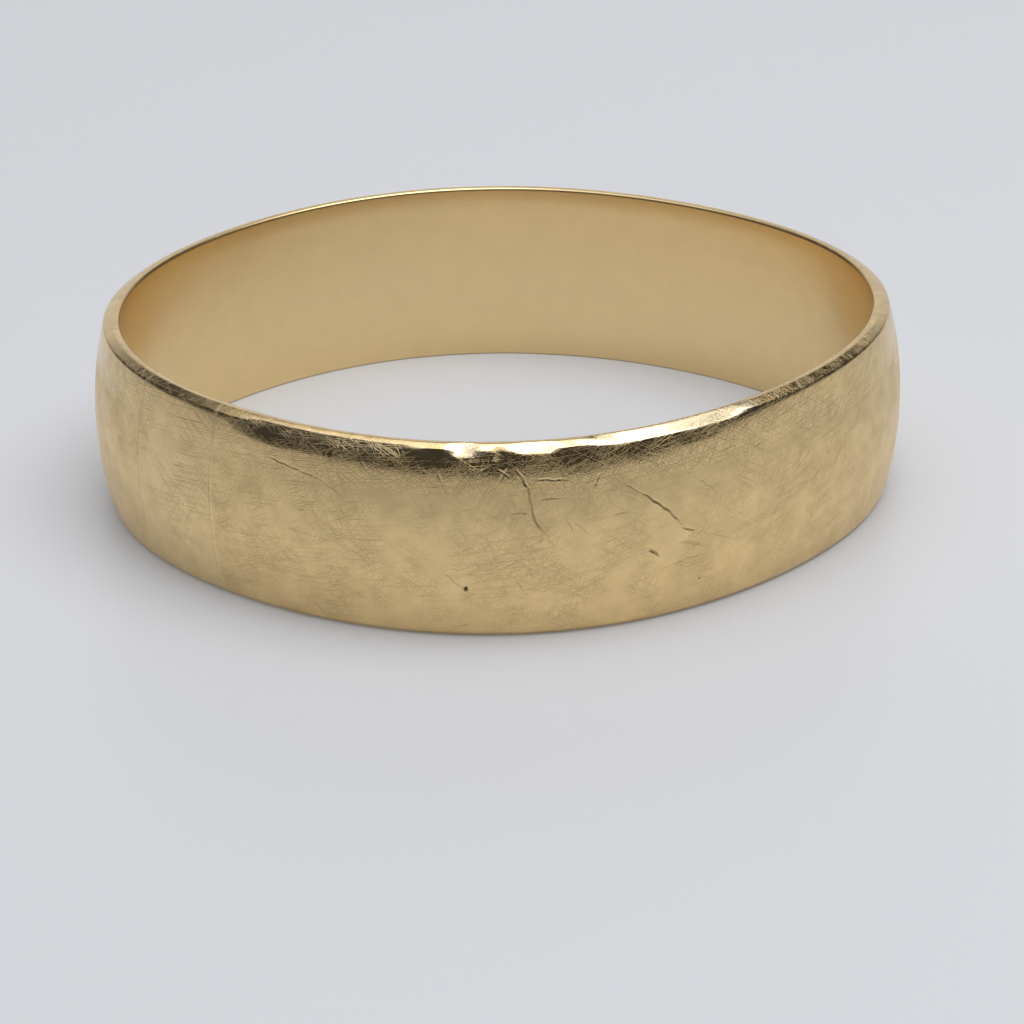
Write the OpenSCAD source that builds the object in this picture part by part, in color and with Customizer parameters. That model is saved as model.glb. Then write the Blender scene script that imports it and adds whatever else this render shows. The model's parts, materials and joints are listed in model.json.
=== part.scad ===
// Low-domed wedding band, sized up with a let-in piece between two solder seams.
// Millimetres. +Z runs along the finger axis; the origin is the centre of the bore
// on the plane of the lower edge. -Y is the front and +X is to its right.

/* [Band] */
// Width of the band along the finger
band_width = 5.0; // [3:0.1:8]
// Diameter of the finger bore
bore_diameter = 19.35; // [15:0.05:23]
// Wall at the two edges, before they are rounded
edge_thickness = 0.4; // [0.35:0.01:1.5]
// How far the middle of the outer dome stands above the edges
dome_rise = 0.35; // [0.15:0.01:1]

/* [Edges] */
// Rounding where the dome meets the flat edge
outer_edge_round = 0.24; // [0.05:0.01:0.24]
// Rounding where the bore meets the flat edge
inner_edge_round = 0.08; // [0.04:0.01:0.12]

/* [Sizing piece] */
// Direction of the middle of the sizing piece, counter-clockwise from +X
insert_direction = 217.5; // [0:0.5:359.5]
// Length of the sizing piece, measured along the bore
insert_length = 2.75; // [1:0.05:8]
// Solder between the band and the sizing piece, measured along the bore
seam_width = 0.12; // [0.06:0.01:0.3]
// How far the solder is dressed below the metal on the outer dome
seam_sink = 0.01; // [0.005:0.005:0.03]

/* [Hidden] */
$fn = 180;
bore_radius = bore_diameter / 2;
half_width = band_width / 2;
// How far the outer rounding reaches past the dome, so that they meet in one clean line
round_overlap = 0.004;
// Angles that the sizing piece and one seam take up around the bore
insert_sweep = arc_angle(insert_length);
seam_sweep = arc_angle(seam_width);
insert_start = insert_direction - insert_sweep / 2;
band_start = insert_start + insert_sweep + seam_sweep;
band_sweep = 360 - insert_sweep - 2 * seam_sweep;

// Angle, in degrees, that a length along the bore takes up
function arc_angle(length) = length / bore_radius * 180 / PI;

// Radius of the arc that stands rise above a chord as long as the band is wide
function dome_radius(rise) = (half_width ^ 2 + rise ^ 2) / (2 * rise);

// Half of the D-shaped section, from the middle of the width to the flat upper edge.
// X is the distance from the finger axis and Y is the height above the middle.
module half_section(rise) {
    dome = dome_radius(rise);
    dome_centre = bore_radius + edge_thickness + rise - dome;
    // Centre of the outer rounding, which touches the flat edge and just crosses the dome
    round_height = half_width - outer_edge_round;
    centre_gap = dome - outer_edge_round + round_overlap;
    round_centre = dome_centre + sqrt(centre_gap ^ 2 - round_height ^ 2);
    touch_height = round_height * dome / centre_gap;
    inner_centre = bore_radius + inner_edge_round;
    // Flat edge and the wall under it
    translate([inner_centre, 0])
        square([round_centre - inner_centre, half_width]);
    // Wall beside the bore, up to its rounding
    translate([bore_radius, 0])
        square([edge_thickness / 2, half_width - inner_edge_round]);
    translate([inner_centre, half_width - inner_edge_round])
        circle(inner_edge_round);
    // Outer rounding, kept clear of the bore however large it is
    intersection() {
        translate([round_centre, round_height])
            circle(outer_edge_round);
        translate([inner_centre, 0])
            square([bore_radius, half_width]);
    }
    // Dome, up to where its rounding starts
    intersection() {
        translate([dome_centre, 0])
            circle(dome);
        translate([inner_centre, 0])
            square([bore_radius, touch_height]);
    }
}

// The whole D-shaped section, standing on the plane of the lower edge
module d_section(rise) {
    translate([0, half_width]) {
        half_section(rise);
        mirror([0, 1])
            half_section(rise);
    }
}

// A stretch of ring that starts at one direction and runs counter-clockwise
module ring_stretch(start, sweep, rise) {
    rotate([0, 0, start])
        rotate_extrude(angle = sweep)
            d_section(rise);
}

// The long open strip that makes up nearly the whole ring
module band() {
    color("#cdb284")
        ring_stretch(band_start, band_sweep, dome_rise);
}

// The short piece let in when the ring was made larger
module sizing_insert() {
    color("#d3b67f")
        ring_stretch(insert_start, insert_sweep, dome_rise);
}

// One film of solder, a little lower than the metal on its outer dome
module solder_seam(start) {
    color("#e6dcc0")
        ring_stretch(start, seam_sweep, dome_rise - seam_sink);
}

band();
sizing_insert();
solder_seam(insert_start - seam_sweep);  // solder_seam_left
solder_seam(insert_start + insert_sweep);  // solder_seam_right
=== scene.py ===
"""A worn, low-domed gold wedding band with a let-in sizing piece, standing on a milky sheet."""

import json
import logging
import math
from collections.abc import Sequence
from dataclasses import dataclass
from enum import Enum

import bpy
import numpy as np
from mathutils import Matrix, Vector


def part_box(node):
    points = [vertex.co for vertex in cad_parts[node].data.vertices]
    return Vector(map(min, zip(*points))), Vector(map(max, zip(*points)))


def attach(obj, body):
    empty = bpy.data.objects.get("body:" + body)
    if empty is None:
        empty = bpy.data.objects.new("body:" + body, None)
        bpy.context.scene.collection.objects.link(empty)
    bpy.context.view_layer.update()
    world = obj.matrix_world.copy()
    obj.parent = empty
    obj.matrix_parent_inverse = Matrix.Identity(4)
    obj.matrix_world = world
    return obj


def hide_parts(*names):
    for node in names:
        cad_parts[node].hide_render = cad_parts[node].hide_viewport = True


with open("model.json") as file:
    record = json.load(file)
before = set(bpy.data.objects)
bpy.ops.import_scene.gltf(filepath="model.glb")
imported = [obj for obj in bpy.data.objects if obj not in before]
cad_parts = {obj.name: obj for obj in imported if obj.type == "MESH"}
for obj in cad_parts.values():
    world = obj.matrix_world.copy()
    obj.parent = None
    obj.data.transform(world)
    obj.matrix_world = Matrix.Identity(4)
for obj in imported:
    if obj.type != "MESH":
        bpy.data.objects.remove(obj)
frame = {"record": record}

log = logging.getLogger("wedding_band")

MM = 0.001
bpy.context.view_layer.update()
MERGE = 1e-7
# Distances from the bore, in millimetres, past which a face is on the outer wall or off the bore's own
OUTER_WALL = 0.15
BORE_WALL = 0.66


# ---------------------------------------------------------------- helpers


def deselect() -> None:
    """Leave edit mode and clear the selection, so that an operator acts only on what is meant."""
    if bpy.context.object and bpy.context.object.mode != "OBJECT":
        bpy.ops.object.mode_set(mode="OBJECT")
    bpy.ops.object.select_all(action="DESELECT")


def activate(obj: bpy.types.Object) -> None:
    """Make one object the only selected one and the active one.

    Args:
        obj: The object to work on.
    """
    deselect()
    obj.select_set(True)
    bpy.context.view_layer.objects.active = obj


def apply_all(obj: bpy.types.Object) -> None:
    """Apply every modifier of an object, in order.

    Args:
        obj: The object to finish.
    """
    activate(obj)
    for modifier in list(obj.modifiers):
        bpy.ops.object.modifier_apply(modifier=modifier.name)


def linear(code: str) -> tuple[float, float, float, float]:
    """Turn an sRGB hex colour into the linear colour that a socket takes.

    Args:
        code: The colour, such as "#F3D499".

    Returns:
        Red, green, blue and a full alpha.
    """
    parts = [int(code[i : i + 2], 16) / 255 for i in (1, 3, 5)]
    red, green, blue = (c / 12.92 if c <= 0.04045 else ((c + 0.055) / 1.055) ** 2.4 for c in parts)
    return red, green, blue, 1.0


def smooth_step(low: float, high: float, value: np.ndarray) -> np.ndarray:
    """Rise smoothly from 0 at low to 1 at high.

    Args:
        low: Where the rise starts.
        high: Where the rise ends.
        value: The values to place on it.

    Returns:
        One weight from 0 to 1 for each value.
    """
    t = np.clip((value - low) / (high - low), 0.0, 1.0)
    return t * t * (3 - 2 * t)


def add_node(
    tree: bpy.types.NodeTree, kind: str, inputs: dict | None = None, **settings
) -> bpy.types.Node:
    """Add one node with its settings, values and links.

    Args:
        tree: The node tree.
        kind: The node's type name.
        inputs: A value, or a socket to link from, for each input by name or number.
        settings: The node's own properties.

    Returns:
        The new node.
    """
    made = tree.nodes.new(kind)
    for name, value in settings.items():
        setattr(made, name, value)
    for name, value in (inputs or {}).items():
        if isinstance(value, bpy.types.NodeSocket):
            tree.links.new(value, made.inputs[name])
        else:
            made.inputs[name].default_value = value
    return made


# ---------------------------------------------------------------- section


@dataclass(frozen=True)
class Section:
    """The D-shaped section of the band, in millimetres.

    Attributes:
        bore: Radius of the finger bore.
        crest: Radius of the middle of the outer dome.
        width: Width along the finger.
        rise: How far the crest stands above the edges.
        outer_round: Rounding where the dome meets the flat edge.
        inner_round: Rounding where the bore meets the flat edge.
    """

    bore: float
    crest: float
    width: float
    rise: float = 0.35
    outer_round: float = 0.24
    inner_round: float = 0.08

    @property
    def half(self) -> float:
        """Half of the width."""
        return self.width / 2

    @property
    def dome(self) -> float:
        """Radius of the dome's arc."""
        return (self.half**2 + self.rise**2) / (2 * self.rise)

    @property
    def dome_centre(self) -> float:
        """Distance of the dome's centre from the finger axis."""
        return self.crest - self.dome

    @property
    def round_centre(self) -> float:
        """Distance of the outer rounding's centre from the finger axis."""
        height = self.half - self.outer_round
        return self.dome_centre + math.sqrt((self.dome - self.outer_round) ** 2 - height**2)

    @property
    def touch(self) -> float:
        """Slope, in radians, where the dome and the outer rounding meet."""
        return math.asin((self.half - self.outer_round) / (self.dome - self.outer_round))

    def sunk(self, depth: float) -> "Section":
        """Give the same section with a lower dome.

        Args:
            depth: How far the crest drops.

        Returns:
            The lower section.
        """
        return Section(self.bore, self.crest - depth, self.width, self.rise - depth)


@dataclass
class Outline:
    """Draws a section as one closed line in the XZ plane, vertex by vertex.

    Attributes:
        name: Name of the object that holds the line.
        section: The section to draw.
        dome_steps: Lengths that the dome is drawn in.
        place: Radius and height that the line has reached, in millimetres.
    """

    name: str
    section: Section
    dome_steps: int = 68
    place: tuple[float, float] = (0.0, 0.0)

    def start(self, radius: float, height: float) -> bpy.types.Object:
        """Place the first vertex.

        Args:
            radius: Distance from the finger axis.
            height: Height above the lower edge.

        Returns:
            The object that holds it, in edit mode.
        """
        deselect()
        bpy.ops.mesh.primitive_plane_add(size=MERGE, location=(0, 0, 0))
        obj = bpy.context.object
        obj.name = obj.data.name = self.name
        bpy.ops.object.mode_set(mode="EDIT")
        bpy.ops.mesh.select_mode(type="VERT")
        bpy.ops.mesh.select_all(action="SELECT")
        bpy.ops.mesh.merge(type="CENTER")
        bpy.ops.transform.translate(value=(radius * MM, 0, height * MM))
        self.place = (radius, height)
        return obj

    def line(self, radius: float, height: float, steps: int = 1) -> None:
        """Draw a straight stretch to a new place.

        Args:
            radius: Where it ends, from the finger axis.
            height: Where it ends, above the lower edge.
            steps: Lengths that it is drawn in.
        """
        move = ((radius - self.place[0]) / steps * MM, 0, (height - self.place[1]) / steps * MM)
        for _ in range(steps):
            bpy.ops.mesh.extrude_region_move(TRANSFORM_OT_translate={"value": move})
        self.place = (radius, height)

    def arc(self, radius: float, height: float, sweep: float, steps: int) -> None:
        """Draw an arc around a centre.

        Args:
            radius: The centre's distance from the finger axis.
            height: The centre's height.
            sweep: Angle in radians, clockwise seen from the front.
            steps: Lengths that it is drawn in.
        """
        for _ in range(steps):
            turn = -sweep / steps
            dx, dz = self.place[0] - radius, self.place[1] - height
            new = (
                radius + dx * math.cos(turn) - dz * math.sin(turn),
                height + dx * math.sin(turn) + dz * math.cos(turn),
            )
            self.line(*new)

    def draw(self) -> bpy.types.Object:
        """Draw the whole section.

        Returns:
            The object with the closed line.
        """
        s = self.section
        quarter = math.pi / 2
        obj = self.start(s.bore, s.inner_round)
        self.line(s.bore, s.width - s.inner_round, 10)
        self.arc(s.bore + s.inner_round, s.width - s.inner_round, quarter, 5)
        self.line(s.round_centre, s.width, 4)
        self.arc(s.round_centre, s.width - s.outer_round, quarter - s.touch, 10)
        self.arc(s.dome_centre, s.half, 2 * s.touch, self.dome_steps)
        self.arc(s.round_centre, s.outer_round, quarter - s.touch, 10)
        self.line(s.bore + s.inner_round, 0, 4)
        self.arc(s.bore + s.inner_round, s.inner_round, quarter, 5)
        bpy.ops.mesh.select_all(action="SELECT")
        bpy.ops.mesh.remove_doubles(threshold=MERGE)
        bpy.ops.object.mode_set(mode="OBJECT")
        return obj


# ---------------------------------------------------------------- wear


class Wear(Enum):
    """Kinds of mark on the gold: width and depth in millimetres, then how much darker the colour is drawn
    in the mark and how much paler as a painted highlight, from 0 to 1.
    """

    DEEP = (0.075, 0.016, 0.42, 0.0)
    FINE = (0.050, 0.008, 0.26, 0.0)
    SOFT = (0.15, 0.008, 0.14, 0.0)
    FAINT = (0.07, 0.003, 0.08, 0.0)
    BRIGHT = (0.07, 0.003, 0.0, 0.5)
    PIT = (0.14, 0.035, 1.0, 0.0)


@dataclass(frozen=True)
class Mark:
    """One scratch, gouge or pit: a stroke that starts at a place and runs along one or more legs.

    Attributes:
        kind: What sort of mark it is.
        direction: Where it starts, in degrees from +X.
        height: Where it starts, in millimetres.
        legs: For each leg, its heading in degrees (0 runs to the right, 90 up) and its length in
            millimetres.
        scale: How much wider and deeper than its kind it is.
    """

    kind: Wear
    direction: float
    height: float
    legs: tuple[tuple[float, float], ...]
    scale: float = 1.0

    def path(self, crest: float) -> list[tuple[float, float]]:
        """Follow the legs from the start.

        Args:
            crest: Radius at which lengths around the ring are counted, in millimetres.

        Returns:
            The mark's points: length around the ring and height, in millimetres.
        """
        points = [(math.radians(self.direction) * crest, self.height)]
        for heading, length in self.legs:
            turn = math.radians(heading)
            along, height = points[-1]
            points.append((along + length * math.cos(turn), height + length * math.sin(turn)))
        return points


@dataclass(frozen=True)
class Rub:
    """A flat that long wear has left along the upper outer corner.

    Attributes:
        start: Direction in degrees where it begins.
        end: Direction in degrees where it ends.
        lean: Elevation of the flat's normal in degrees.
        depth: How far the flat is cut into the rounded corner, in millimetres.
        fade: Degrees over which the flat runs out at each end.
        shine: How polished it is, from 0 to 1; it makes the flat smoother and also pales its colour as a
            painted highlight.
    """

    start: float
    end: float
    lean: float
    depth: float
    fade: float = 3.0
    shine: float = 0.5


PIN_PRICK = ((0, 0.01),)

GOUGES = (
    # Down from the dent, with a hook at its foot
    Mark(Wear.DEEP, 272.5, 4.5, ((-60, 0.55), (-80, 0.85), (-55, 0.45))),
    Mark(Wear.FINE, 276.0, 2.8, ((-120, 0.25),)),
    # The long one on the right, and its faint tail
    Mark(Wear.FINE, 287.0, 3.9, ((-35, 0.65),)),
    Mark(Wear.DEEP, 289.5, 3.6, ((-35, 0.2), (-40, 0.8), (-50, 0.55)), 1.15),
    Mark(Wear.DEEP, 295.5, 2.5, ((-35, 0.25), (-15, 0.3)), 0.8),
    Mark(Wear.FAINT, 298.0, 2.3, ((-25, 1.6),)),
    # Below it
    Mark(Wear.DEEP, 290.5, 2.1, ((-40, 0.45),), 1.5),
    Mark(Wear.SOFT, 295.0, 2.1, ((-15, 0.4), (-25, 0.5))),
    Mark(Wear.FINE, 292.0, 1.2, ((50, 0.35), (10, 0.6), (0, 0.6)), 0.6),
)

SCRATCHES = (
    # Beside the gouge in the middle
    Mark(Wear.FINE, 271.5, 3.4, ((-5, 0.5),)),
    Mark(Wear.FINE, 275.5, 3.7, ((0, 0.65),)),
    Mark(Wear.FINE, 279.0, 3.2, ((-65, 0.5),)),
    Mark(Wear.FINE, 280.0, 3.1, ((-45, 0.6),), 0.7),
    Mark(Wear.FINE, 274.0, 2.0, ((-80, 0.4),)),
    Mark(Wear.FINE, 272.0, 1.7, ((-60, 0.5),)),
    Mark(Wear.FINE, 284.0, 4.2, ((-120, 0.4),)),
    # On the right
    Mark(Wear.FINE, 285.0, 2.3, ((5, 0.5),), 0.6),
    Mark(Wear.FINE, 285.0, 3.1, ((5, 0.6),), 0.7),
    Mark(Wear.FAINT, 298.0, 3.7, ((-40, 1.1),)),
    # On the left
    Mark(Wear.FINE, 262.5, 1.9, ((-50, 0.4), (-40, 0.7))),
    Mark(Wear.FAINT, 264.0, 2.4, ((10, 0.25), (35, 0.5))),
    Mark(Wear.FINE, 263.0, 0.2, ((20, 0.7),), 0.8),
    Mark(Wear.FAINT, 239.0, 2.5, ((-5, 1.5), (-20, 0.9), (-15, 0.9))),
    Mark(Wear.FAINT, 236.0, 4.2, ((-10, 1.6), (-25, 0.9))),
    Mark(Wear.FINE, 241.5, 3.0, ((15, 0.25),), 0.7),
    Mark(Wear.FAINT, 216.0, 2.7, ((-15, 1.0), (20, 1.1))),
)

PITS = (
    Mark(Wear.PIT, 265.5, 1.4, PIN_PRICK),
    Mark(Wear.PIT, 299.0, 0.9, PIN_PRICK, 0.5),
)

EDGE_NICKS = (
    # Bright cuts across the dark, rubbed corner, their paler colour a painted highlight
    Mark(Wear.BRIGHT, 240.5, 4.9, ((-90, 0.5),), 0.8),
    Mark(Wear.BRIGHT, 241.5, 4.9, ((-90, 0.4),), 0.7),
    Mark(Wear.BRIGHT, 243.5, 4.8, ((-60, 0.4),), 0.7),
    Mark(Wear.BRIGHT, 246.5, 4.9, ((-85, 0.6),), 0.8),
    Mark(Wear.BRIGHT, 247.5, 4.8, ((-90, 0.4),), 0.7),
    Mark(Wear.FINE, 248.0, 4.6, ((25, 0.35),), 0.8),
    Mark(Wear.BRIGHT, 250.5, 4.9, ((-70, 0.65),)),
    Mark(Wear.BRIGHT, 253.0, 4.5, ((40, 0.4),), 0.7),
    Mark(Wear.BRIGHT, 255.0, 4.6, ((20, 0.5),), 0.7),
    Mark(Wear.BRIGHT, 257.0, 4.9, ((-75, 0.5),), 0.7),
    Mark(Wear.BRIGHT, 259.0, 4.6, ((-70, 0.3),), 0.7),
    Mark(Wear.BRIGHT, 261.5, 4.8, ((-75, 0.8),)),
    # Around the dent
    Mark(Wear.BRIGHT, 267.5, 4.4, ((25, 0.45),)),
    Mark(Wear.BRIGHT, 270.0, 4.1, ((55, 0.7),)),
    Mark(Wear.BRIGHT, 270.0, 4.5, ((-40, 0.4),)),
    Mark(Wear.BRIGHT, 275.0, 4.2, ((-5, 0.85),)),
    Mark(Wear.BRIGHT, 275.5, 4.4, ((50, 0.45),)),
    Mark(Wear.BRIGHT, 280.5, 4.8, ((-40, 0.5),)),
    Mark(Wear.BRIGHT, 282.5, 4.8, ((-45, 0.5),)),
    *(Mark(Wear.FINE, direction, 4.8, ((-80, 0.3),), 0.6) for direction in (283.5, 284.5, 285.5)),
)

MARKS = GOUGES + SCRATCHES + PITS + EDGE_NICKS

# A rub's last number makes the flat smoother and also pales its colour as a painted highlight
RUBS = (
    # All round, and along the left
    Rub(-20, 380, 64, 0.035, 1.0, 0.0),
    Rub(229, 262, 34, 0.07, 6.0, 0.4),
    # The broad bright flat on the right, painted paler as a highlight
    Rub(280, 312, 60, 0.08, 8.0, 0.9),
    # The dent: a white facet, a dark one and a paler one; the white one is painted near white as a
    # highlight
    Rub(262.5, 268.5, 47, 0.105, 2.5, 1.0),
    Rub(268, 272, 34, 0.095, 2.0, 0.2),
    Rub(270.5, 280, 50, 0.08, 3.5, 0.4),
    # Shallow wear under the corner
    Rub(228, 304, 18, 0.02, 7.0, 0.0),
    Rub(230, 290, 17, 0.02, 8.0, 0.0),
    Rub(233, 270, 26, 0.035, 5.0, 0.0),
)


@dataclass
class WornSurface:
    """Presses the marks and rubbed flats into a finished stretch of ring.

    Attributes:
        section: The section of the stretch, in millimetres.
        deepest: Depth that a full vertex weight stands for, in millimetres.
        burr: Height of the metal thrown up beside a mark, in millimetres.
        burr_place: Distance of the burr's ridge from the mark's middle, in half widths.
        burr_width: Width of the ridge, in half widths.
        burr_full: Depth of a mark, in millimetres, from which its burr has its full height.
        least_facing: Least share of a flat's cut that is taken along the surface's own normal.
        polished: Depth of a flat, in millimetres, from which it is fully polished and fully painted paler
            as a highlight.
        waver: How far a scratch strays from its line, in millimetres.
        waver_turn: How fast it strays, in radians per millimetre.
        tip: Width of a scratch at its very tip, as a share of its full width.
        longest_tip: Longest stretch over which a scratch thins out, in millimetres.
    """

    section: Section
    deepest: float = 0.15
    burr: float = 0.008
    burr_place: float = 1.35
    burr_width: float = 0.35
    burr_full: float = 0.04
    least_facing: float = 0.35
    polished: float = 0.01
    waver: float = 0.010
    waver_turn: float = 17.0
    tip: float = 0.3
    longest_tip: float = 0.35

    def mark(self, obj: bpy.types.Object) -> None:
        """Weigh every vertex by the wear there, press the wear in, and keep it for the finish.

        Args:
            obj: The stretch of ring, round and unworn.
        """
        mesh = obj.data
        count = len(mesh.vertices)
        place = np.empty(count * 3)
        normal = np.empty(count * 3)
        mesh.vertices.foreach_get("co", place)
        mesh.vertices.foreach_get("normal", normal)
        place = place.reshape(-1, 3) / MM
        normal = normal.reshape(-1, 3)
        angle = np.degrees(np.arctan2(place[:, 1], place[:, 0])) % 360
        radius = np.hypot(place[:, 0], place[:, 1])
        height = place[:, 2]
        outward = (normal[:, 0] * place[:, 0] + normal[:, 1] * place[:, 1]) / radius
        outer = radius > self.section.bore + self.section.inner_round
        along = np.radians(angle) * self.section.crest

        depth = np.zeros(count)
        raised = np.zeros(count)
        dirt = np.zeros(count)
        shine = np.zeros(count)
        s = self.section
        for rub in RUBS:
            lean = math.radians(rub.lean)
            out, up = radius - s.round_centre, height - (s.width - s.outer_round)
            past = out * math.cos(lean) + up * math.sin(lean) - (s.outer_round - rub.depth)
            facing = outward * math.cos(lean) + normal[:, 2] * math.sin(lean)
            cut = np.maximum(past, 0) / np.maximum(facing, self.least_facing)
            window = smooth_step(rub.start, rub.start + rub.fade, angle)
            window *= 1 - smooth_step(rub.end - rub.fade, rub.end, angle)
            cut = np.where(outer & (height > s.half), cut * window, 0)
            depth = np.maximum(depth, cut)
            shine = np.maximum(shine, rub.shine * smooth_step(0.0, self.polished, cut))
        for mark in MARKS:
            width, deep, mark_darkening, bright = mark.kind.value
            half = width * mark.scale / 2
            away, taper = self.distance(along, height, mark.path(s.crest))
            inside = np.where(outer, 1 - smooth_step(0.2 * half, half, away / taper), 0) * taper
            off = (away - self.burr_place * half) / (self.burr_width * half)
            lip = np.where(outer, np.exp(-(off**2)), 0) * taper
            depth += inside * deep * mark.scale
            raised = np.maximum(raised, lip * min(deep * mark.scale / self.burr_full, 1))
            dirt = np.maximum(dirt, inside * mark_darkening)
            shine = np.maximum(shine, inside * bright)

        self.press(obj, "worn_in", depth / self.deepest, -self.deepest * MM)
        self.press(obj, "burr", raised, self.burr * MM)
        # Keep how much darker each mark is drawn, and the painted highlight of the rubbed places
        for name, values in (("dirt", dirt), ("shine", shine)):
            kept = mesh.attributes.new(name, "FLOAT", "POINT")
            kept.data.foreach_set("value", values.astype(np.float32))

    def distance(
        self, along: np.ndarray, height: np.ndarray, points: Sequence[tuple[float, float]]
    ) -> tuple[np.ndarray, np.ndarray]:
        """Measure how far each place lies from a mark, and how far the mark has thinned out there.

        Args:
            along: Length of each vertex along the ring.
            height: Height of each vertex.
            points: The line's points, in millimetres.

        Returns:
            The distances in millimetres, and the share of its full width that the mark has there.
        """
        best = np.full(len(along), np.inf)
        run = np.zeros(len(along))
        done = 0.0
        for (ax, ay), (bx, by) in zip(points, points[1:]):
            dx, dy = bx - ax, by - ay
            size = math.hypot(dx, dy)
            t = np.clip(((along - ax) * dx + (height - ay) * dy) / (size * size), 0, 1)
            waver = self.waver * np.sin(self.waver_turn * (done + t * size)) * min(size / 0.2, 1)
            side = ((along - ax) * dy - (height - ay) * dx) / size
            away = np.hypot(np.hypot(along - ax - t * dx, height - ay - t * dy), waver)
            away = np.where((t > 0) & (t < 1), np.abs(side - waver), away)
            nearer = away < best
            best = np.where(nearer, away, best)
            run = np.where(nearer, done + t * size, run)
            done += size
        if done < 0.02:
            return best, np.ones(len(along))
        thinning = min(0.3 * done, self.longest_tip)
        left = smooth_step(0.0, thinning, np.minimum(run, done - run))
        return best, self.tip + (1 - self.tip) * left

    def near(self, along: np.ndarray, height: np.ndarray, reach: float) -> np.ndarray:
        """Find the places that lie close to a mark that needs a fine mesh.

        Args:
            along: Length of each place along the ring.
            height: Height of each place.
            reach: How close, in millimetres.

        Returns:
            True for each such place.
        """
        found = np.zeros(len(along), dtype=bool)
        for mark in MARKS:
            away, _ = self.distance(along, height, mark.path(self.section.crest))
            found |= away < reach
        return found

    def press(self, obj: bpy.types.Object, name: str, weights: np.ndarray, strength: float) -> None:
        """Add a modifier that moves the surface by a vertex group's weights.

        Args:
            obj: The stretch of ring.
            name: Name of the group and of the modifier.
            weights: One weight for each vertex.
            strength: Move at full weight, in metres.
        """
        group = obj.vertex_groups.new(name=name)
        for index in np.nonzero(weights > 1e-4)[0]:
            group.add([int(index)], float(min(weights[index], 1.0)), "REPLACE")
        modifier = obj.modifiers.new(name, "DISPLACE")
        modifier.direction = "NORMAL"
        modifier.mid_level = 0.0
        modifier.strength = strength
        modifier.vertex_group = name


@dataclass(frozen=True)
class Bend:
    """How far the ring has been squeezed out of round, as three waves around it.

    Attributes:
        waves: For each wave: its lobes, how far out in millimetres, and a lobe's direction in degrees.
        reach: Width of the cage around the ring, in millimetres.
        points: Cage points along each side.
    """

    waves: tuple[tuple[int, float, float], ...] = ((2, 0.07, 5.0), (3, 0.08, 20.0), (4, 0.15, 5.0))
    reach: float = 26.0
    points: int = 17

    def swell(self, angle: float) -> float:
        """Give how far out the ring stands at a direction.

        Args:
            angle: The direction in radians.

        Returns:
            The distance in millimetres.
        """
        return sum(out * math.cos(lobes * (angle - math.radians(turn))) for lobes, out, turn in self.waves)

    def cage(self) -> bpy.types.Object:
        """Make the bent cage.

        Returns:
            A lattice object that a Lattice modifier can follow.
        """
        deselect()
        bpy.ops.object.add(type="LATTICE", location=(0, 0, 2.5 * MM))
        cage = bpy.context.object
        cage.name = "bend_cage"
        cage.scale = (self.reach * MM, self.reach * MM, 12 * MM)
        data = cage.data
        data.points_u = data.points_v = self.points
        data.points_w = 2
        for point in data.points:
            x, y = point.co.x * self.reach, point.co.y * self.reach
            angle = math.atan2(y, x)
            out = self.swell(angle) / self.reach if math.hypot(x, y) > 3 else 0.0
            point.co_deform = point.co + Vector((math.cos(angle), math.sin(angle), 0)) * out
        bpy.context.view_layer.update()
        return cage


# ---------------------------------------------------------------- pieces


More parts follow.
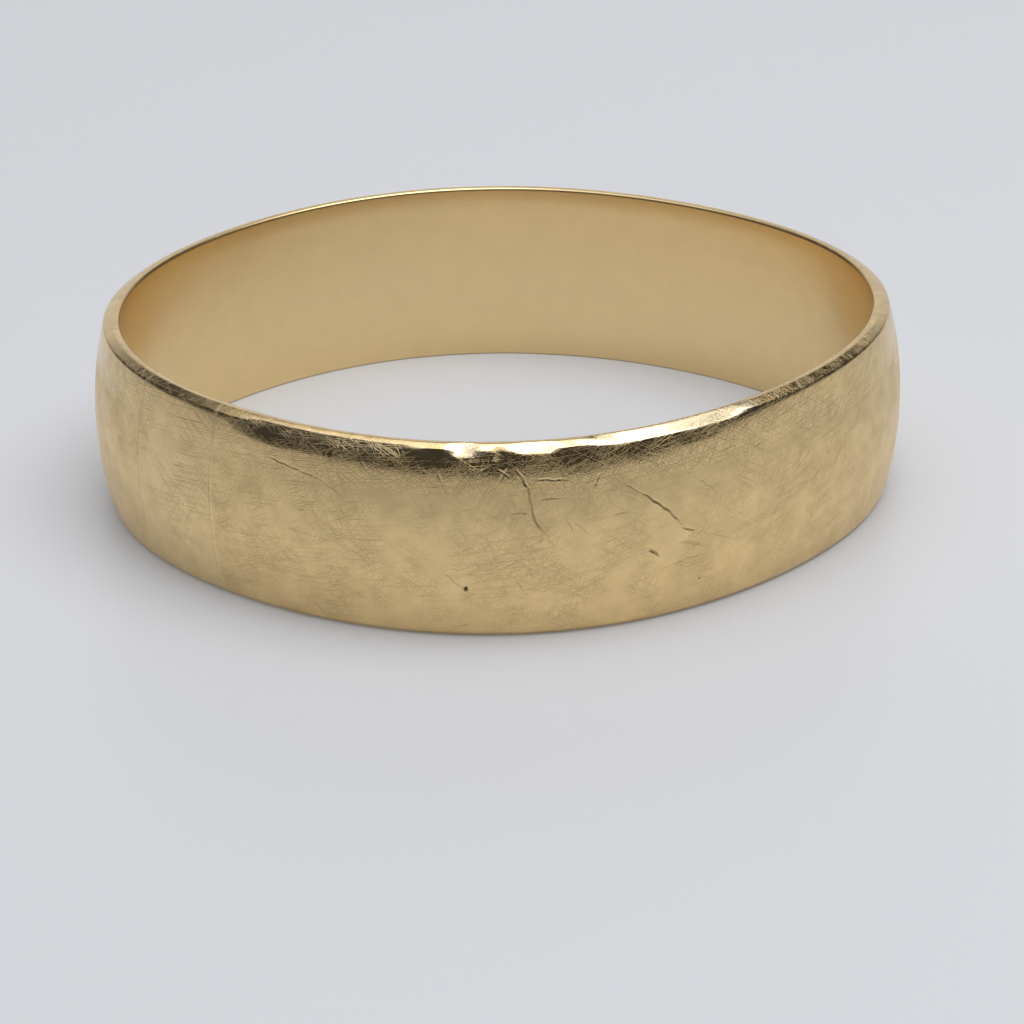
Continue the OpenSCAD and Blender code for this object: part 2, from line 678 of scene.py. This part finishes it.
@dataclass
class RingStretch:
    """One piece of the ring: a section swept from one direction to another.

    Attributes:
        name: Name of the piece.
        node: The CAD node that it stands for.
        slot: Name of a material slot; not used.
        section: Its section, in millimetres.
        start: Direction in degrees where it begins, counter-clockwise from +X.
        sweep: Degrees that it runs over.
        fine: Degrees over which it is swept in short steps, as pairs of start and end.
        short_step: Degrees of a short step.
        long_step: Degrees of a long step.
        marked: Whether the mesh is made finer around the marks.
        reaches: How close to a mark the mesh is made finer, once and then once more, in millimetres.
        uneven: How far the surface rolls in and out, in millimetres.
        roll: Size of the rolls, in millimetres.
    """

    name: str
    node: str
    slot: str
    section: Section
    start: float
    sweep: float
    fine: tuple[float, float] | None = None
    short_step: float = 0.5
    long_step: float = 2.0
    marked: bool = False
    reaches: tuple[float, float] = (0.14, 0.07)
    uneven: float = 0.006
    roll: float = 1.4

    def stretches(self) -> list[tuple[float, float, float]]:
        """Split the piece where its steps change.

        Returns:
            Start, sweep and step, in degrees, of each stretch.
        """
        end = self.start + self.sweep
        if self.fine is None:
            return [(self.start, self.sweep, self.short_step)]
        low, high = max(self.fine[0], self.start), min(self.fine[1], end)
        parts = [
            (self.start, low - self.start, self.long_step),
            (low, high - low, self.short_step),
            (high, end - high, self.long_step),
        ]
        return [part for part in parts if part[1] > 0.01]

    def sweep_outline(self) -> bpy.types.Object:
        """Sweep the outline into the open skin of the piece.

        Returns:
            The skin, with its stretches merged.
        """
        made = []
        for start, sweep, step in self.stretches():
            obj = Outline(self.name, self.section).draw()
            screw = obj.modifiers.new("sweep", "SCREW")
            screw.angle = math.radians(sweep)
            screw.steps = screw.render_steps = max(2, round(sweep / step))
            screw.axis = "Z"
            screw.use_merge_vertices = False
            apply_all(obj)
            obj.rotation_euler = (0, 0, math.radians(start))
            bpy.ops.object.transform_apply(location=False, rotation=True, scale=False)
            made.append(obj)
        deselect()
        for obj in made:
            obj.select_set(True)
        bpy.context.view_layer.objects.active = made[0]
        if len(made) > 1:
            bpy.ops.object.join()
        skin = bpy.context.view_layer.objects.active
        activate(skin)
        bpy.ops.object.mode_set(mode="EDIT")
        bpy.ops.mesh.select_all(action="SELECT")
        bpy.ops.mesh.remove_doubles(threshold=MERGE)
        bpy.ops.mesh.normals_make_consistent(inside=False)
        bpy.ops.object.mode_set(mode="OBJECT")
        return skin

    def refine(self, obj: bpy.types.Object) -> None:
        """Subdivide the outer wall around the marks, and once more close beside them.

        Args:
            obj: The skin of the piece.
        """
        worn = WornSurface(self.section)
        for reach in self.reaches:
            activate(obj)
            bpy.ops.object.mode_set(mode="EDIT")
            bpy.ops.mesh.select_mode(type="FACE")
            bpy.ops.mesh.select_all(action="DESELECT")
            bpy.ops.object.mode_set(mode="OBJECT")
            middle = np.empty(len(obj.data.polygons) * 3)
            obj.data.polygons.foreach_get("center", middle)
            x, y, z = middle.reshape(-1, 3).T / MM
            along = np.radians(np.degrees(np.arctan2(y, x)) % 360) * self.section.crest
            outer = np.hypot(x, y) > self.section.bore + OUTER_WALL
            wanted = worn.near(along, z, reach) & outer
            obj.data.polygons.foreach_set("select", wanted)
            bpy.ops.object.mode_set(mode="EDIT")
            bpy.ops.mesh.subdivide(number_cuts=1, smoothness=0)
            bpy.ops.object.mode_set(mode="OBJECT")

    def close_ends(self, obj: bpy.types.Object) -> None:
        """Close both ends and turn every face outwards.

        Args:
            obj: The worn and bent skin.
        """
        activate(obj)
        bpy.ops.object.mode_set(mode="EDIT")
        bpy.ops.mesh.select_mode(type="EDGE")
        bpy.ops.mesh.select_all(action="DESELECT")
        bpy.ops.mesh.select_non_manifold(extend=False, use_boundary=True, use_wire=False)
        bpy.ops.mesh.fill_holes(sides=0)
        bpy.ops.mesh.select_all(action="SELECT")
        bpy.ops.mesh.normals_make_consistent(inside=False)
        bpy.ops.object.mode_set(mode="OBJECT")
        bpy.ops.object.shade_smooth_by_angle(angle=math.radians(35))

    def lay_strip(self, obj: bpy.types.Object) -> None:
        """Lay the surface out as a strip in millimetres, so that fine lines follow the ring.

        Args:
            obj: The skin of the piece, still round.
        """
        mesh = obj.data
        strip = mesh.uv_layers.new(name="strip")
        s = self.section
        for face in mesh.polygons:
            middle = math.degrees(math.atan2(face.center.y, face.center.x)) % 360
            for loop in face.loop_indices:
                co = mesh.vertices[mesh.loops[loop].vertex_index].co
                angle = math.degrees(math.atan2(co.y, co.x)) % 360
                if angle - middle > 180:
                    angle -= 360
                elif middle - angle > 180:
                    angle += 360
                radius, height = math.hypot(co.x, co.y) / MM, co.z / MM
                drop = (s.crest - radius) * (1 if height > s.half else -1)
                strip.data[loop].uv = (math.radians(angle) * s.crest, height + drop)

    def build(
        self, cage: bpy.types.Object, outside: bpy.types.Material, inside: bpy.types.Material
    ) -> bpy.types.Object:
        """Make the whole piece.

        Args:
            cage: The bent cage that takes the ring out of round.
            outside: Finish of the dome and the edges.
            inside: Finish of the bore.

        Returns:
            The finished piece, riding on the frame.
        """
        obj = self.sweep_outline()
        if self.marked:
            self.refine(obj)
        self.lay_strip(obj)
        WornSurface(self.section).mark(obj)
        apply_all(obj)
        uneven = bpy.data.textures.new(self.name + "_uneven", "CLOUDS")
        uneven.noise_scale = self.roll * MM
        wave = obj.modifiers.new("uneven", "DISPLACE")
        wave.texture = uneven
        wave.mid_level = 0.5
        wave.strength = self.uneven * MM
        wave.texture_coords = "LOCAL"
        bend = obj.modifiers.new("bend", "LATTICE")
        bend.object = cage
        apply_all(obj)
        self.close_ends(obj)
        obj.data.materials.clear()
        obj.data.materials.append(outside)
        obj.data.materials.append(inside)
        limit = (self.section.bore + BORE_WALL) * MM
        for face in obj.data.polygons:
            c = face.center
            flat = math.hypot(c.x, c.y)
            inward = (face.normal.x * c.x + face.normal.y * c.y) < -0.4 * flat
            face.material_index = 1 if inward and flat < limit else 0
        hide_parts(self.node)
        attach(obj, "root")
        log.info("%s: %d faces", self.name, len(obj.data.polygons))
        return obj


# ---------------------------------------------------------------- finishes


@dataclass(frozen=True)
class Hairlines:
    """One set of fine scratches that run the same way.

    Attributes:
        turn: Direction in degrees from the length of the ring.
        length: Length of a scratch in millimetres.
        width: Width in millimetres, drawn wider than a real hairline so that it shows.
        cut: How rare they are: noise above this shows as a scratch.
        seed: Offset that makes each set different.
    """

    turn: float
    length: float
    width: float
    cut: float
    seed: float


@dataclass(frozen=True)
class SatinGold:
    """Worn satin gold: an alloy of gold, silver and copper that years of wear have dulled.

    The fine random scratches spread each reflection into a soft glow, and the rubbed edge
    keeps enough polish to show the dark room beside the bright light.

    Attributes:
        name: Name of the finish.
        colour: Colour of a straight reflection.
        dull: Roughness of the dome.
        rubbed: Roughness of the rubbed edge.
        lines: The sets of fine scratches.
        depth: Depth of the scratches in millimetres.
        edge: Height in millimetres above which the edge is rubbed, or None where there is none.
        mottle: How much the roughness clouds.
        marked: How much darker the scratches are.
        tone: How much the colour clouds.
        polish: Paler colour painted on the rubbed flats and bright nicks, a painted highlight.
        edge_lines: Share of the scratches' depth that is left on the rubbed edge.
        edge_fade: How far below and above that height the rubbing sets in, in millimetres.
        in_line: Colour in a scratch.
        mark_darkening: Dark colour that the gouges, scratches and pits are drawn towards.
    """

    name: str
    colour: str
    dull: float
    rubbed: float
    lines: tuple[Hairlines, ...]
    depth: float = 0.004
    edge: float | None = 4.22
    mottle: float = 0.06
    marked: float = 0.11
    tone: float = 0.07
    polish: str = "#FAE6BE"
    edge_lines: float = 0.65
    edge_fade: tuple[float, float] = (0.17, 0.40)
    in_line: str = "#B79A63"
    mark_darkening: str = "#3A3020"

    def make(self) -> bpy.types.Material:
        """Build the material.

        Returns:
            The material.
        """
        material = bpy.data.materials.new(self.name)
        material.use_nodes = True
        tree = material.node_tree
        tree.nodes.clear()
        place = add_node(tree, "ShaderNodeTexCoord").outputs["Object"]
        per_mm = (1 / MM, 1 / MM, 1 / MM)
        in_mm = add_node(tree, "ShaderNodeMapping", {"Vector": place, "Scale": per_mm}).outputs[0]
        strip = add_node(tree, "ShaderNodeUVMap", uv_map="strip").outputs[0]
        # Clouds about 0.6 mm across
        clouds = add_node(
            tree,
            "ShaderNodeTexNoise",
            {"Vector": in_mm, "Scale": 1.7, "Detail": 4.0, "Roughness": 0.6},
        ).outputs[0]
        # Grain about 0.07 mm across, drawn coarser than real satin so that it shows
        grain = add_node(
            tree,
            "ShaderNodeTexNoise",
            {"Vector": in_mm, "Scale": 14.0, "Detail": 2.0, "Roughness": 0.5},
        ).outputs[0]
        soft_grain = add_node(tree, "ShaderNodeMath", {0: grain, 1: 0.35}, operation="MULTIPLY").outputs[0]
        # How rubbed each place is: smoother, and painted paler as a highlight
        shine = add_node(tree, "ShaderNodeAttribute", attribute_name="shine").outputs["Fac"]
        scratches = self.scratch(tree, in_mm, strip)
        rough, kept = self.roughen(tree, strip, clouds, soft_grain, scratches, shine)
        relief = add_node(tree, "ShaderNodeMath", {0: soft_grain, 1: kept}, operation="SUBTRACT")
        bump = add_node(
            tree,
            "ShaderNodeBump",
            {"Strength": 1.0, "Distance": self.depth * MM, "Height": relief.outputs[0]},
        )
        gold = add_node(
            tree,
            "ShaderNodeBsdfPrincipled",
            {
                "Metallic": 1.0,
                "Base Color": self.tint(tree, clouds, scratches, shine),
                "Roughness": rough,
                "Normal": bump.outputs[0],
            },
        )
        add_node(tree, "ShaderNodeOutputMaterial", {"Surface": gold.outputs[0]})
        return material

    def scratch(
        self, tree: bpy.types.NodeTree, in_mm: bpy.types.NodeSocket, strip: bpy.types.NodeSocket
    ) -> bpy.types.NodeSocket:
        """Draw the fine scratches, which lie thicker in some patches than in others.

        Args:
            tree: The material's nodes.
            in_mm: Place on the piece in millimetres.
            strip: Place along the ring and across its width, in millimetres.

        Returns:
            How scratched each place is, from 0 up.
        """
        scratches = None
        for line in self.lines:
            laid = add_node(
                tree,
                "ShaderNodeMapping",
                {
                    "Vector": strip,
                    "Location": (line.seed, line.seed * 0.7, 0),
                    "Rotation": (0, 0, math.radians(line.turn)),
                    "Scale": (line.length, line.width, 1),
                },
                vector_type="TEXTURE",
            )
            noise = add_node(
                tree, "ShaderNodeTexNoise", {"Vector": laid.outputs[0], "Scale": 1.0, "Detail": 0.0}
            )
            shown = add_node(
                tree,
                "ShaderNodeMapRange",
                {"Value": noise.outputs[0], "From Min": line.cut, "From Max": line.cut + 0.10},
            ).outputs[0]
            if scratches is None:
                scratches = shown
            else:
                scratches = add_node(
                    tree, "ShaderNodeMath", {0: scratches, 1: shown}, operation="MAXIMUM"
                ).outputs[0]
        # Patches a millimetre or so across
        patches = add_node(
            tree,
            "ShaderNodeTexNoise",
            {"Vector": in_mm, "Scale": 0.9, "Detail": 2.0, "Roughness": 0.5},
        )
        often = add_node(
            tree,
            "ShaderNodeMapRange",
            {
                "Value": patches.outputs[0],
                "From Min": 0.36,
                "From Max": 0.6,
                "To Min": 0.35,
                "To Max": 1.25,
            },
        )
        return add_node(
            tree, "ShaderNodeMath", {0: scratches, 1: often.outputs[0]}, operation="MULTIPLY"
        ).outputs[0]

    def tint(
        self,
        tree: bpy.types.NodeTree,
        clouds: bpy.types.NodeSocket,
        scratches: bpy.types.NodeSocket,
        shine: bpy.types.NodeSocket,
    ) -> bpy.types.NodeSocket:
        """Colour the metal: cloudy, darker in the scratches, paler where rubbed as a painted highlight,
        darker in the gouges and pits.

        Args:
            tree: The material's nodes.
            clouds: The clouds.
            scratches: The fine scratches.
            shine: How rubbed each place is; it pales the colour there as a painted highlight.

        Returns:
            The colour.
        """
        tone = add_node(
            tree,
            "ShaderNodeMapRange",
            {
                "Value": clouds,
                "From Min": 0.3,
                "From Max": 0.7,
                "To Min": 0.98 - self.tone,
                "To Max": 0.98 + self.tone,
            },
        )
        shade = add_node(
            tree,
            "ShaderNodeVectorMath",
            {0: linear(self.colour)[:3], "Scale": tone.outputs[0]},
            operation="SCALE",
        )
        share = add_node(tree, "ShaderNodeMath", {0: scratches, 1: self.marked}, operation="MULTIPLY")
        lined = add_node(
            tree,
            "ShaderNodeMix",
            {"Factor": share.outputs[0], "A": shade.outputs[0], "B": linear(self.in_line)},
            data_type="RGBA",
        )
        # Painted highlight: paler where rubbed and on the bright nicks
        with_painted_glint = add_node(
            tree,
            "ShaderNodeMix",
            {"Factor": shine, "A": lined.outputs[2], "B": linear(self.polish)},
            data_type="RGBA",
        )
        # Darker colour in the gouges, scratches and pits, by the kind of mark
        dirt = add_node(tree, "ShaderNodeAttribute", attribute_name="dirt")
        darkened_in_marks = add_node(
            tree,
            "ShaderNodeMix",
            {"Factor": dirt.outputs["Fac"], "A": with_painted_glint.outputs[2], "B": linear(self.mark_darkening)},
            data_type="RGBA",
        )
        return darkened_in_marks.outputs[2]

    def roughen(
        self,
        tree: bpy.types.NodeTree,
        strip: bpy.types.NodeSocket,
        clouds: bpy.types.NodeSocket,
        soft_grain: bpy.types.NodeSocket,
        scratches: bpy.types.NodeSocket,
        shine: bpy.types.NodeSocket,
    ) -> tuple[bpy.types.NodeSocket, bpy.types.NodeSocket]:
        """Work out the roughness, and how much of the scratches is left on the rubbed edge.

        Args:
            tree: The material's nodes.
            strip: Place along the ring and across its width, in millimetres.
            clouds: The clouds.
            soft_grain: The grain, which makes the border of the rubbed edge ragged.
            scratches: The fine scratches.
            shine: How rubbed each place is.

        Returns:
            The roughness and the scratches that are left.
        """
        rough = add_node(
            tree,
            "ShaderNodeMapRange",
            {
                "Value": clouds,
                "From Min": 0.3,
                "From Max": 0.7,
                "To Min": self.dull + self.mottle / 2,
                "To Max": self.dull - self.mottle / 2,
            },
        ).outputs[0]
        kept = scratches
        if self.edge is not None:
            up = add_node(tree, "ShaderNodeSeparateXYZ", {0: strip})
            ragged = add_node(tree, "ShaderNodeMath", {0: up.outputs[1], 1: soft_grain}, operation="ADD")
            below, above = self.edge_fade
            near = add_node(
                tree,
                "ShaderNodeMapRange",
                {
                    "Value": ragged.outputs[0],
                    "From Min": self.edge - below,
                    "From Max": self.edge + above,
                },
            )
            worn = add_node(
                tree, "ShaderNodeMath", {0: near.outputs[0], 1: shine}, operation="MAXIMUM"
            ).outputs[0]
            rough = add_node(
                tree, "ShaderNodeMix", {"Factor": worn, "A": rough, "B": self.rubbed}, data_type="FLOAT"
            ).outputs[0]
            keep = add_node(
                tree, "ShaderNodeMapRange", {"Value": worn, "To Min": 1.0, "To Max": self.edge_lines}
            )
            kept = add_node(
                tree, "ShaderNodeMath", {0: scratches, 1: keep.outputs[0]}, operation="MULTIPLY"
            ).outputs[0]
        more = add_node(tree, "ShaderNodeMath", {0: kept, 1: 0.10}, operation="MULTIPLY")
        rough = add_node(tree, "ShaderNodeMath", {0: rough, 1: more.outputs[0]}, operation="ADD").outputs[0]
        return rough, kept


@dataclass(frozen=True)
class Sheet:
    """Milky acrylic sheet: smooth and pale, with a faint blurred sheen and light from within.

    Attributes:
        colour: Colour of the sheet.
        glow: Light that comes up through it, so that shadows on it stay pale.
        rough: Roughness of its face.
        half: Half of the sheet's side, in metres.
        shining: Colour of the light that comes up through it.
    """

    colour: str = "#D3D5D9"
    glow: float = 0.12
    rough: float = 0.42
    half: float = 1.5
    shining: str = "#F3F4F8"

    def lay(self) -> None:
        """Lay the sheet under the ring."""
        deselect()
        bpy.ops.mesh.primitive_plane_add(size=2 * self.half, location=(0, 0, 0))
        sheet = bpy.context.object
        sheet.name = "floor_sheet"
        material = bpy.data.materials.new("milky_acrylic")
        material.use_nodes = True
        tree = material.node_tree
        tree.nodes.clear()
        out = add_node(tree, "ShaderNodeOutputMaterial")
        place = add_node(tree, "ShaderNodeTexCoord")
        # Ripples about a millimetre across, left by the casting
        ripple = add_node(
            tree,
            "ShaderNodeTexNoise",
            {"Vector": place.outputs["Object"], "Scale": 900.0, "Detail": 3.0},
        )
        rough = add_node(
            tree,
            "ShaderNodeMapRange",
            {"Value": ripple.outputs[0], "To Min": self.rough - 0.04, "To Max": self.rough + 0.04},
        )
        face = add_node(
            tree,
            "ShaderNodeBsdfPrincipled",
            {
                "Base Color": linear(self.colour),
                "Roughness": rough.outputs[0],
                "Emission Color": linear(self.shining),
                "Emission Strength": self.glow,
            },
        )
        tree.links.new(face.outputs[0], out.inputs[0])
        sheet.data.materials.append(material)


# ---------------------------------------------------------------- studio


@dataclass(frozen=True)
class Studio:
    """A dim room with a broad soft light overhead.

    Attributes:
        dim: Brightness of the room from the horizon up.
        bright: Brightness of the soft ceiling.
        behind: Brightness of the pale wall behind the ring, down to the horizon.
        low: Height of a direction, as its sine, where the ceiling starts.
        high: Height of a direction where it is at its full brightness.
        lamp_power: Power of the overhead lamp, in watts.
        lamp_side: Side of the lamp, in metres.
        lamp_height: Height of the lamp, in metres.
        lamp_forward: How far it stands in front of the ring, in metres.
        lamp_right: How far it stands to the right of the ring, in metres.
        lamp_tilt: How far it is tipped towards the ring, in radians.
        wall: How far back a direction points, from 0 to 1, where the wall starts and where it is full.
        colour: Colour of the room's light.
    """

    dim: float = 0.050
    bright: float = 1.12
    behind: float = 0.70
    low: float = 0.66
    high: float = 0.86
    lamp_power: float = 0.345
    lamp_side: float = 0.24
    lamp_height: float = 0.25
    lamp_forward: float = 0.05
    lamp_right: float = 0.09
    lamp_tilt: float = -0.20
    wall: tuple[float, float] = (0.70, 0.92)
    colour: str = "#F9F9FC"

    def light(self) -> None:
        """Set the world and the lamp."""
        world = bpy.data.worlds.new("dim_studio")
        bpy.context.scene.world = world
        world.use_nodes = True
        tree = world.node_tree
        tree.nodes.clear()
        out = add_node(tree, "ShaderNodeOutputWorld")
        way = add_node(tree, "ShaderNodeTexCoord")
        up = add_node(tree, "ShaderNodeSeparateXYZ", {0: way.outputs["Generated"]})
        wall = add_node(
            tree,
            "ShaderNodeMapRange",
            {
                "Value": up.outputs[1],
                "From Min": self.wall[0],
                "From Max": self.wall[1],
                "To Min": self.dim,
                "To Max": self.behind,
            },
            interpolation_type="SMOOTHSTEP",
        )
        level = add_node(
            tree,
            "ShaderNodeMapRange",
            {
                "Value": up.outputs[2],
                "From Min": self.low,
                "From Max": self.high,
                "To Min": wall.outputs[0],
                "To Max": self.bright,
            },
            interpolation_type="SMOOTHSTEP",
        )
        sky = add_node(
            tree, "ShaderNodeBackground", {"Color": linear(self.colour), "Strength": level.outputs[0]}
        )
        tree.links.new(sky.outputs[0], out.inputs[0])
        deselect()
        bpy.ops.object.light_add(
            type="AREA",
            location=(self.lamp_right, -self.lamp_forward, self.lamp_height),
            rotation=(self.lamp_tilt, 0, 0),
        )
        lamp = bpy.context.object
        lamp.name = "soft_overhead"
        lamp.data.shape = "SQUARE"
        lamp.data.size = self.lamp_side
        lamp.data.energy = self.lamp_power


@dataclass(frozen=True)
class View:
    """The camera, looking down at the ring from the front.

    Attributes:
        aim: Point that it looks at, in millimetres.
        distance: Distance from that point, in millimetres.
        elevation: How far above the level it stands, in degrees.
        roll: Turn about its own line of sight, in degrees.
        lens: Focal length in millimetres, on a 36 mm sensor.
    """

    aim: tuple[float, float, float] = (0.343, 0.0, -0.926)
    distance: float = 116.1
    elevation: float = 22.47
    roll: float = -1.09
    lens: float = 152.6

    def place(self) -> None:
        """Create the camera and make it the scene's."""
        lift, roll = math.radians(self.elevation), math.radians(self.roll)
        right, up = Vector((1, 0, 0)), Vector((0, math.sin(lift), math.cos(lift)))
        back = Vector((0, -math.cos(lift), math.sin(lift)))
        deselect()
        bpy.ops.object.camera_add()
        camera = bpy.context.object
        camera.name = "front_camera"
        across = right * math.cos(roll) + up * math.sin(roll)
        upward = up * math.cos(roll) - right * math.sin(roll)
        matrix = camera.matrix_world.to_3x3()
        for column, axis in enumerate((across, upward, back)):
            for row in range(3):
                matrix[row][column] = axis[row]
        place = (Vector(self.aim) + back * self.distance) * MM
        camera.matrix_world = matrix.to_4x4()
        camera.location = place
        camera.data.sensor_width = 36.0
        camera.data.lens = self.lens
        camera.data.clip_start = 0.005
        bpy.context.scene.camera = camera


# ---------------------------------------------------------------- the ring


@dataclass
class WeddingBand:
    """The ring: a long open band, the piece let in to size it up, and the solder between them.

    Attributes:
        insert_direction: Direction of the middle of the sizing piece, in degrees.
        insert_length: Length of the sizing piece along the bore, in millimetres.
        seam: Width of the solder along the bore, in millimetres.
        sink: How far the solder is dressed below the metal, in millimetres.
    """

    insert_direction: float = 217.5
    insert_length: float = 2.75
    seam: float = 0.12
    sink: float = 0.004

    def section(self) -> Section:
        """Take the section's sizes from the frame.

        Returns:
            The section, in millimetres.
        """
        mount = next(m for m in frame["record"]["mounts"] if m["name"] == "finger_bore")
        low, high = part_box("band")
        return Section(
            bore=mount["dims"]["r_mm"],
            crest=(high[0] - low[0]) / 2 / MM,
            width=(high[2] - low[2]) / MM,
        )

    def build(self) -> None:
        """Build, bend and dress the four pieces."""
        section = self.section()
        log.info("bore %.3f, crest %.3f, width %.3f mm", section.bore, section.crest, section.width)
        arc = 180 / math.pi / section.bore
        insert, seam = self.insert_length * arc, self.seam * arc
        first = self.insert_direction - insert / 2

        hairs = (
            Hairlines(6, 1.9, 0.026, 0.64, 3.1),
            Hairlines(-34, 1.5, 0.024, 0.65, 17.7),
            Hairlines(58, 1.2, 0.024, 0.65, 41.3),
            Hairlines(84, 0.8, 0.022, 0.65, 63.9),
            Hairlines(27, 1.4, 0.022, 0.66, 87.5),
            Hairlines(-66, 1.1, 0.022, 0.66, 105.1),
        )
        satin = SatinGold(
            "worn_satin_14ct_gold", "#F3D59B", dull=0.30, rubbed=0.08, lines=hairs, depth=0.003
        ).make()
        sizing = SatinGold(
            "let_in_14ct_gold",
            "#F4D79F",
            dull=0.29,
            rubbed=0.15,
            lines=hairs[:3],
            mottle=0.04,
            marked=0.10,
        ).make()
        polish = SatinGold(
            "skin_polished_bore_gold",
            "#F1D6A0",
            dull=0.28,
            rubbed=0.2,
            lines=hairs[:1],
            depth=0.0003,
            edge=None,
            mottle=0.0,
            marked=0.01,
            tone=0.02,
        ).make()
        solder = SatinGold(
            "dressed_gold_solder",
            "#F3D8A3",
            dull=0.30,
            rubbed=0.2,
            lines=hairs[:3],
            depth=0.003,
            edge=None,
            mottle=0.05,
            marked=0.10,
        ).make()

        cage = Bend().cage()
        left, right = first - seam, first + insert
        film = section.sunk(self.sink)
        strip = RingStretch(
            "worn_band",
            "band",
            "yellow_gold",
            section,
            right + seam,
            360 - insert - 2 * seam,
            fine=(right + seam, 330.0),
            marked=True,
        )
        let_in = RingStretch("worn_sizing_piece", "sizing_insert", "sizing_gold", section, first, insert)
        lines = [
            RingStretch(
                f"solder_line_{side}",
                f"solder_seam_{side}",
                "gold_solder",
                film,
                start,
                seam,
                short_step=0.24,
            )
            for side, start in (("left", left), ("right", right))
        ]
        pieces = (
            (strip, satin, polish),
            (let_in, sizing, polish),
            *((line, solder, solder) for line in lines),
        )
        for piece, outside, inside in pieces:
            piece.build(cage, outside, inside)
        bpy.data.objects.remove(cage, do_unlink=True)


def main() -> None:
    """Build the ring, the sheet, the light and the camera."""
    logging.basicConfig(level=logging.INFO, format="%(message)s")
    bpy.context.scene.view_settings.view_transform = "Standard"
    WeddingBand().build()
    Sheet().lay()
    Studio().light()
    View().place()


if __name__ == "__main__":
    main()
